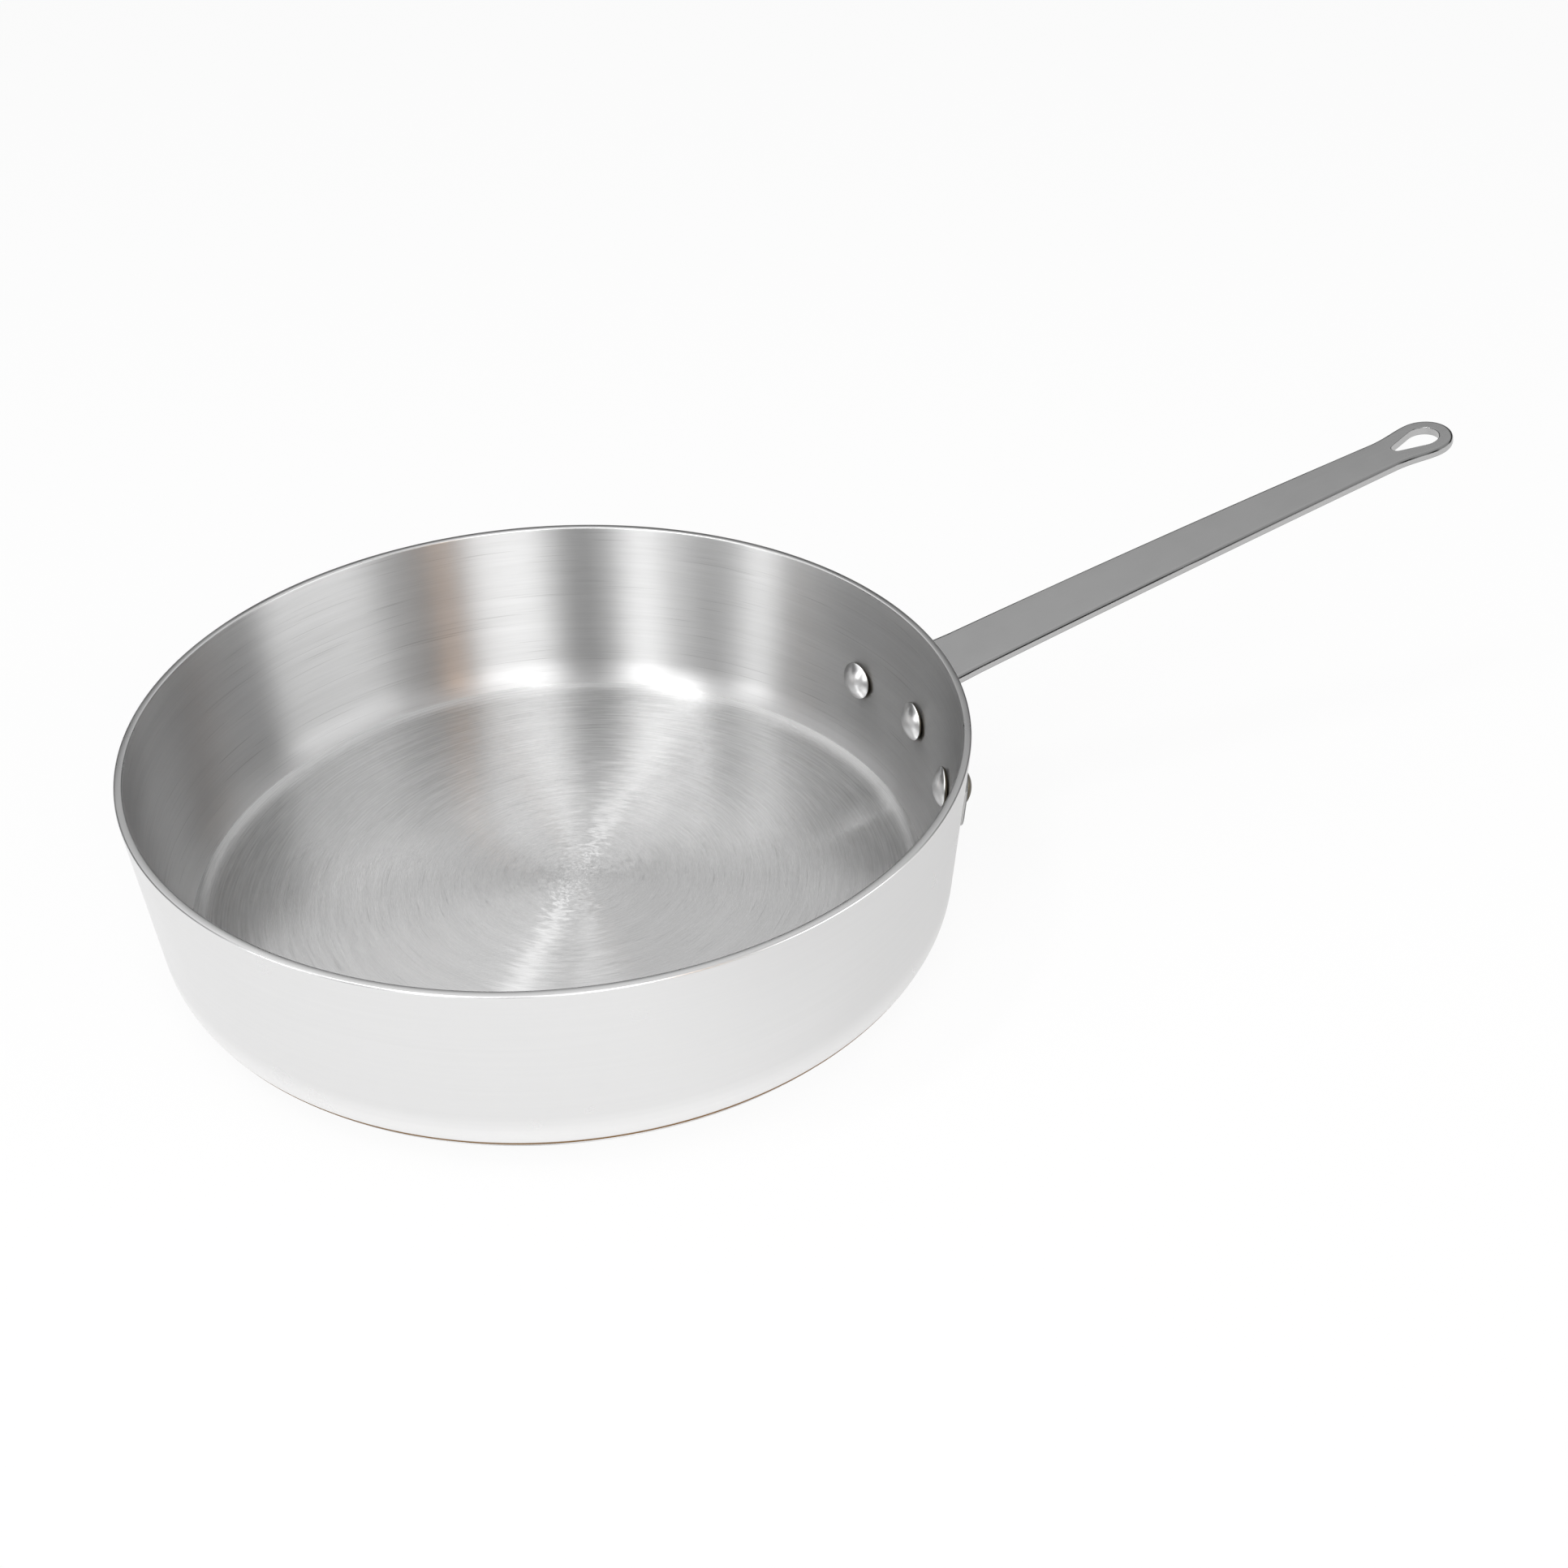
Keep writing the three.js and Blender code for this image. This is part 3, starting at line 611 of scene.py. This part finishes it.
# burnished aluminium: the rivet set leaves a bright dome with a few scuffs; under the brim and on the set heads
# outside the metal is painted dark as painted shade, which draws a dark line round each dome
rivetFinish = {
    "dome": {"name": "burnished_rivet_aluminium", "colour": "#f0f0f0", "roughness": 0.3},
    # painted shade: dark paint under the brims and on the set heads
    "paintedShade": {"name": "rivet_aluminium_painted_shade", "colour": "#645e52", "roughness": 0.4},
    "scuffMm": 1.6,
    "scuffSpan": (0.35, 0.7),           # most of the scuffs' pattern lies between these
    "scuffTone": 0.96,
    "scuffRoughness": (-0.02, 0.03),
    "scuffDepthMm": 0.0015,
}


def makeRivetMetal(look):
    f = rivetFinish
    material, tree = newMaterial(look["name"])
    place = addNode(tree, "ShaderNodeTexCoord")
    scuffs = addNode(tree, "ShaderNodeTexNoise", {"Vector": place.outputs["Object"], "Scale": 1 / (f["scuffMm"] * mm),
                                                  "Detail": 4, "Roughness": 0.6})
    scuffLow, scuffHigh = f["scuffSpan"]
    smoother, rougher = f["scuffRoughness"]
    rough = addNode(tree, "ShaderNodeMapRange", {"Value": scuffs.outputs["Fac"],
                                                 "From Min": scuffLow, "From Max": scuffHigh,
                                                 "To Min": look["roughness"] + smoother,
                                                 "To Max": look["roughness"] + rougher})
    tone = addNode(tree, "ShaderNodeMapRange", {"Value": scuffs.outputs["Fac"],
                                                "From Min": scuffLow, "From Max": scuffHigh,
                                                "To Min": 1.0, "To Max": f["scuffTone"]})
    colour = addNode(tree, "ShaderNodeVectorMath", {0: hexColour(look["colour"])[:3], "Scale": tone.outputs[0]},
                     operation="SCALE")
    bump = addNode(tree, "ShaderNodeBump", {"Height": scuffs.outputs["Fac"], "Strength": 1.0,
                                            "Distance": f["scuffDepthMm"] * mm})
    shader = addNode(tree, "ShaderNodeBsdfPrincipled", {
        "Base Color": colour.outputs[0], "Roughness": rough.outputs[0], "Metallic": 1.0,
        "Normal": bump.outputs[0]})
    addNode(tree, "ShaderNodeOutputMaterial", {"Surface": shader.outputs[0]})
    return material


# rivets: wide domed heads in the pan, smaller set heads on the bracket
rivetShape = {
    "shank": 8.0,
    "innerHead": 15.4,
    "innerEdge": 1.2,
    "innerDome": 3.2,
    "undercut": 1.1,                    # the head curls in towards the wall, and its curl is painted dark as painted shade
    "undercutSteps": 6,
    "paintedShadeFrom": 0.1,                    # past the brim, faces are painted dark as painted shade
    "outerHead": 12.4,
    "outerEdge": 0.6,
    "outerDome": 2.0,
    "edgeRounding": 0.25,
    "edgeSegments": 3,
    "sharp": 0.4,                       # radians, corners of the turned profile are sharper
    "domeSteps": 14,
    "turns": 64,
}
rivetPlaces = {"rivetLeft": ("rivet_left", -1), "rivetMiddle": ("rivet_middle", 0), "rivetRight": ("rivet_right", 1)}


def domePoints(radius, dome, base, way):
    ball = (radius ** 2 + dome ** 2) / (2 * dome)
    reach = math.asin(radius / ball)
    angles = [reach * i / rivetShape["domeSteps"] for i in range(rivetShape["domeSteps"] + 1)]
    return [(ball * math.sin(a), base + way * (dome - ball * (1 - math.cos(a)))) for a in angles]


def rivetProfile():
    r = rivetShape
    hollow = (r["innerHead"] / 2) ** 2 / (2 * (rivetRowRadius - panBody["wall"]))      # under the flat of the head
    innerSeat = -steelHandle["seatGap"] - hollow
    outerSeat = panBody["wall"] + steelHandle["thick"] + 2 * steelHandle["seatGap"]
    undercut = arcPoints((r["innerHead"] / 2 - r["undercut"], innerSeat - r["innerEdge"]),
                         (r["undercut"], r["innerEdge"]), 0, 90, r["undercutSteps"])
    return [
        *domePoints(r["innerHead"] / 2, r["innerDome"], innerSeat - r["innerEdge"], -1),
        *[(point.x, point.y) for point in undercut[1:]], (r["shank"] / 2, innerSeat),
        (r["shank"] / 2, outerSeat), (r["outerHead"] / 2, outerSeat),
        *domePoints(r["outerHead"] / 2, r["outerDome"], outerSeat + r["outerEdge"], 1)[::-1],
    ]


def makeRivet(name, side, materials):
    r = rivetShape
    bm = bmesh.new()
    verts = [bm.verts.new((radius * mm, 0, height * mm)) for radius, height in rivetProfile()]
    edges = [bm.edges.new(pair) for pair in zip(verts, verts[1:])]
    bmesh.ops.spin(bm, geom=verts + edges, cent=(0, 0, 0), axis=(0, 0, 1), angle=2 * math.pi, steps=r["turns"],
                   use_merge=True)
    bmesh.ops.remove_doubles(bm, verts=bm.verts, dist=weld)
    bmesh.ops.recalc_face_normals(bm, faces=bm.faces)
    brims = [e for e in bm.edges if e.calc_face_angle(0) > r["sharp"]]
    bmesh.ops.bevel(bm, geom=brims, offset=r["edgeRounding"] * mm, offset_type="OFFSET", segments=r["edgeSegments"],
                    profile=arcProfile, affect="EDGES", material=-1, clamp_overlap=True)
    # painted shade: faces past the dome's brim get the dark paint
    paintedShadeHeight = (rivetProfile()[r["domeSteps"]][1] + r["paintedShadeFrom"]) * mm
    for face in bm.faces:
        face.material_index = 1 if face.calc_center_median().z > paintedShadeHeight else 0
    across = side * steelHandle["rivetPitch"]
    seat = bendStart + wallUp * (rivetRow - droopAt(rivetRow, across))
    inner = seat - wallOut * (steelHandle["seatGap"] + panBody["wall"])
    squareToWall = Matrix.Rotation(math.pi / 2 + taper, 4, "Y")
    spoke = Matrix.Rotation(across / rivetRowRadius, 4, "Z")
    bm.transform(spoke @ Matrix.Translation((inner.x * mm, 0, inner.y * mm)) @ squareToWall)
    return finishMesh(bm, name, materials)


rivetMetals = [makeRivetMetal(rivetFinish[part]) for part in ("dome", "paintedShade")]
for rivetName, (nodeName, side) in rivetPlaces.items():
    rivet = makeRivet(rivetName, side, rivetMetals)
    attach(rivet, "root")
    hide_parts(nodeName)
print("rivets done:", len(rivet.data.polygons), "faces each")


# stage: white sweep under and behind the pan
stageLook = {
    "size": 8.0,
    "cells": 8,
    "drop": 0.0002,                     # just under the base
    "white": "#ffffff",
    "paper": "#dcdcdc",                 # tone of the sweep in the room's light, as metal shows it
    "shadowShare": 0.1,                 # how much of the floor's tone comes from light that falls on it
    "mirrorShadowShare": 0.35,          # the same where metal shows the floor
    "shadeZone": (0.02, 0.2),           # metres to the camera's right over which the sweep falls into shade
    "shadeTone": 0.76,
}


# studio: tall soft boxes round the camera's side of the pan under a bright ceiling, with dark gaps between them
studio = {
    "towardsCamera": -103.0,            # degrees round the pan, from +X
    "distance": 1.8,
    "whiteLamp": 4,                     # watts per square metre at which a soft box shows as plain white
    "ceiling": (1.1, 0.7),              # grey levels of the room, ceiling from left to right
    "ceilingBehind": (1.35, 1.0),       # the same behind the pan, where it changes faster
    "behindSpan": (-0.3, 0.35),         # sideways share of the way over which it does
    "overheadSpan": (-0.35, -0.1),      # from behind the pan to overhead, share of the way to the camera
    "ceilingFrom": 31.0,                # degrees above level where the ceiling's light starts
    "ceilingFull": 38.0,
    "front": 0.6,
    "back": 0.02,
    "frontSpan": (0.0, 0.12),           # from back to front, share of the way to the camera
    "gapEdge": (0.35, 0.65),            # shares of a dark gap's width where its soft edge starts and ends
    "gapTopEdge": 5.0,                  # degrees
    "sweepTop": 6.0,                    # degrees up to which the white sweep reaches
}
softBoxes = {                           # foot and head: degrees from the camera to its right, degrees above level
    "keyLight": {"foot": (-66, 60), "head": (-90, 73), "wide": 10, "level": 20.0, "colour": "#ffffff"},
    "leftBox": {"foot": (-31, 8), "head": (-40, 62), "wide": 14, "level": 2.5, "colour": "#ffffff"},
    "rightBox": {"foot": (9, 8), "head": (9, 64), "wide": 27, "level": 2.2, "colour": "#ffffff",
                 "flagged": [handle]},          # keeps the handle's rolled edge dark
    "rightTop": {"foot": (5, 64), "head": (5, 80), "wide": 12, "level": 3.2, "colour": "#ffffff"},
    "leftWindow": {"foot": (-70, 5), "head": (-70, 38), "wide": 11, "level": 3.4, "colour": "#ffffff"},
    "rightWindow": {"foot": (67, 5), "head": (67, 36), "wide": 38, "level": 2.0, "colour": "#ffffff",
                    "flagged": [handle]},
    "warmCard": {"foot": (28.5, 16), "head": (28.5, 42), "wide": 5, "level": 2.8, "colour": "#f0bc8c",
                 "flagged": [handle]},
}
darkGaps = [(-53, 13, 56), (-15, 13, 60), (27.5, 17, 46)]       # degrees to the camera's right, width and top


def wayTo(aside, above):
    around = math.radians(studio["towardsCamera"] + aside)
    up = math.radians(above)
    return Vector((math.cos(around) * math.cos(up), math.sin(around) * math.cos(up), math.sin(up)))


def makeFloor():
    s = stageLook
    material, tree = newMaterial("white_sweep")
    light = addNode(tree, "ShaderNodeLightPath")
    mirrored = addNode(tree, "ShaderNodeMath", {0: light.outputs["Is Glossy Ray"],
                                                1: light.outputs["Is Transmission Ray"]}, operation="MAXIMUM")
    mirrorShare = addNode(tree, "ShaderNodeMath", {0: mirrored.outputs[0], 1: 1 - s["mirrorShadowShare"]},
                          operation="MULTIPLY")
    share = addNode(tree, "ShaderNodeMath", {0: light.outputs["Is Camera Ray"], 1: 1 - s["shadowShare"],
                                             2: mirrorShare.outputs[0]}, operation="MULTIPLY_ADD")
    paper = addNode(tree, "ShaderNodeBsdfDiffuse", {"Color": hexColour(s["paper"])})
    place = addNode(tree, "ShaderNodeTexCoord")
    rightwards = addNode(tree, "ShaderNodeVectorMath", {0: place.outputs["Object"], 1: wayTo(90, 0)},
                         operation="DOT_PRODUCT")
    lightEnd, shadeStart = s["shadeZone"]
    shade = addNode(tree, "ShaderNodeMapRange", {"Value": rightwards.outputs["Value"],
                                                 "From Min": lightEnd, "From Max": shadeStart,
                                                 "To Min": 1.0, "To Max": s["shadeTone"]},
                    interpolation_type="SMOOTHSTEP")
    bright = addNode(tree, "ShaderNodeMix", {0: light.outputs["Is Camera Ray"], 2: shade.outputs[0], 3: 1.0})
    glow = addNode(tree, "ShaderNodeEmission", {"Color": hexColour(s["white"]), "Strength": bright.outputs[0]})
    sweep = addNode(tree, "ShaderNodeMixShader", {"Fac": share.outputs[0], 1: paper.outputs[0], 2: glow.outputs[0]})
    addNode(tree, "ShaderNodeOutputMaterial", {"Surface": sweep.outputs[0]})
    bm = bmesh.new()
    bmesh.ops.create_grid(bm, x_segments=s["cells"], y_segments=s["cells"], size=s["size"] / 2)
    bmesh.ops.translate(bm, verts=bm.verts, vec=(0, 0, -s["drop"]))
    floor = finishMesh(bm, "whiteSweep", [material], smooth=False)


def makeSoftBox(name):
    b = softBoxes[name]
    foot, head = [wayTo(*b[end]) * studio["distance"] for end in ("foot", "head")]
    middle = (foot + head) / 2
    data = bpy.data.lights.new(name, "AREA")
    data.shape = "RECTANGLE"
    data.size = 2 * middle.length * math.tan(math.radians(b["wide"] / 2)) * math.cos(math.asin(middle.normalized().z))
    data.size_y = (head - foot).length
    data.energy = b["level"] * studio["whiteLamp"] * data.size * data.size_y
    data.color = hexColour(b["colour"])[:3]
    lamp = bpy.data.objects.new(name, data)
    scene.collection.objects.link(lamp)
    upright = (head - foot).normalized()
    across = upright.cross(middle.normalized()).normalized()
    aimed = Matrix((across, upright, across.cross(upright))).transposed().to_4x4()
    lamp.matrix_world = Matrix.Translation(middle) @ aimed
    lamp.visible_camera = False
    if "flagged" in b:
        shaded = bpy.data.collections.new(name + "Flag")
        for piece in b["flagged"]:
            shaded.objects.link(piece)
        for entry in shaded.collection_objects:
            entry.light_linking.link_state = "EXCLUDE"
        lamp.light_linking.receiver_collection = shaded


def makeWorld():
    world = bpy.data.worlds.new("studioRoom")
    world.use_nodes = True
    scene.world = world
    tree = world.node_tree
    tree.nodes.clear()
    light = addNode(tree, "ShaderNodeLightPath")
    place = addNode(tree, "ShaderNodeTexCoord")
    turned = addNode(tree, "ShaderNodeMapping", {"Vector": place.outputs["Generated"],
                                                 "Rotation": (0, 0, -math.radians(studio["towardsCamera"]))})
    parts = addNode(tree, "ShaderNodeSeparateXYZ", {0: turned.outputs[0]})
    aside = addNode(tree, "ShaderNodeMath", {0: parts.outputs["Y"], 1: parts.outputs["X"]}, operation="ARCTAN2")
    above = addNode(tree, "ShaderNodeMath", {0: parts.outputs["Z"]}, operation="ARCSINE")
    facing = addNode(tree, "ShaderNodeMapRange", {"Value": parts.outputs["X"],
                                                  "From Min": studio["frontSpan"][0],
                                                  "From Max": studio["frontSpan"][1],
                                                  "To Min": studio["back"], "To Max": studio["front"]},
                     interpolation_type="SMOOTHSTEP")
    rising = addNode(tree, "ShaderNodeMapRange", {"Value": above.outputs[0],
                                                  "From Min": math.radians(studio["ceilingFrom"]),
                                                  "From Max": math.radians(studio["ceilingFull"])},
                     interpolation_type="SMOOTHSTEP")
    ceiling = addNode(tree, "ShaderNodeMapRange", {"Value": parts.outputs["Y"], "From Min": -1.0, "From Max": 1.0,
                                                   "To Min": studio["ceiling"][0], "To Max": studio["ceiling"][1]})
    behind = addNode(tree, "ShaderNodeMapRange", {"Value": parts.outputs["Y"],
                                                  "From Min": studio["behindSpan"][0],
                                                  "From Max": studio["behindSpan"][1],
                                                  "To Min": studio["ceilingBehind"][0],
                                                  "To Max": studio["ceilingBehind"][1]},
                     interpolation_type="SMOOTHSTEP")
    overhead = addNode(tree, "ShaderNodeMapRange", {"Value": parts.outputs["X"],
                                                    "From Min": studio["overheadSpan"][0],
                                                    "From Max": studio["overheadSpan"][1]})
    ceiling = addNode(tree, "ShaderNodeMix", {0: overhead.outputs[0], 2: behind.outputs[0], 3: ceiling.outputs[0]})
    room = addNode(tree, "ShaderNodeMix", {0: rising.outputs[0], 2: facing.outputs[0], 3: ceiling.outputs[0]})
    level = room.outputs[0]
    for centre, wide, top in darkGaps:
        off = addNode(tree, "ShaderNodeMath", {0: aside.outputs[0], 1: math.radians(centre)}, operation="SUBTRACT")
        off = addNode(tree, "ShaderNodeMath", {0: off.outputs[0]}, operation="ABSOLUTE")
        edgeStart, edgeEnd = [math.radians(wide * share) for share in studio["gapEdge"]]
        beside = addNode(tree, "ShaderNodeMapRange", {"Value": off.outputs[0],
                                                      "From Min": edgeStart, "From Max": edgeEnd},
                         interpolation_type="SMOOTHSTEP")
        topStart, topEnd = [math.radians(top + side * studio["gapTopEdge"]) for side in (-1, 1)]
        over = addNode(tree, "ShaderNodeMapRange", {"Value": above.outputs[0],
                                                    "From Min": topStart, "From Max": topEnd},
                       interpolation_type="SMOOTHSTEP")
        share = addNode(tree, "ShaderNodeMath", {0: beside.outputs[0], 1: over.outputs[0]}, operation="MAXIMUM")
        level = addNode(tree, "ShaderNodeMath", {0: level, 1: share.outputs[0]}, operation="MULTIPLY").outputs[0]
    low = addNode(tree, "ShaderNodeMapRange", {"Value": above.outputs[0],
                                               "From Min": math.radians(studio["sweepTop"]),
                                               "From Max": math.radians(studio["sweepTop"] / 2)},
                  interpolation_type="SMOOTHSTEP")
    sweep = addNode(tree, "ShaderNodeMath", {0: light.outputs["Is Camera Ray"], 1: low.outputs[0]},
                    operation="MAXIMUM")
    shown = addNode(tree, "ShaderNodeMix", {0: sweep.outputs[0], 2: level, 3: 1.0})
    glow = addNode(tree, "ShaderNodeBackground", {"Color": (1, 1, 1, 1), "Strength": shown.outputs[0]})
    addNode(tree, "ShaderNodeOutputWorld", {"Surface": glow.outputs[0]})


makeFloor()
makeWorld()
for boxName in softBoxes:
    makeSoftBox(boxName)
print("stage and light done")
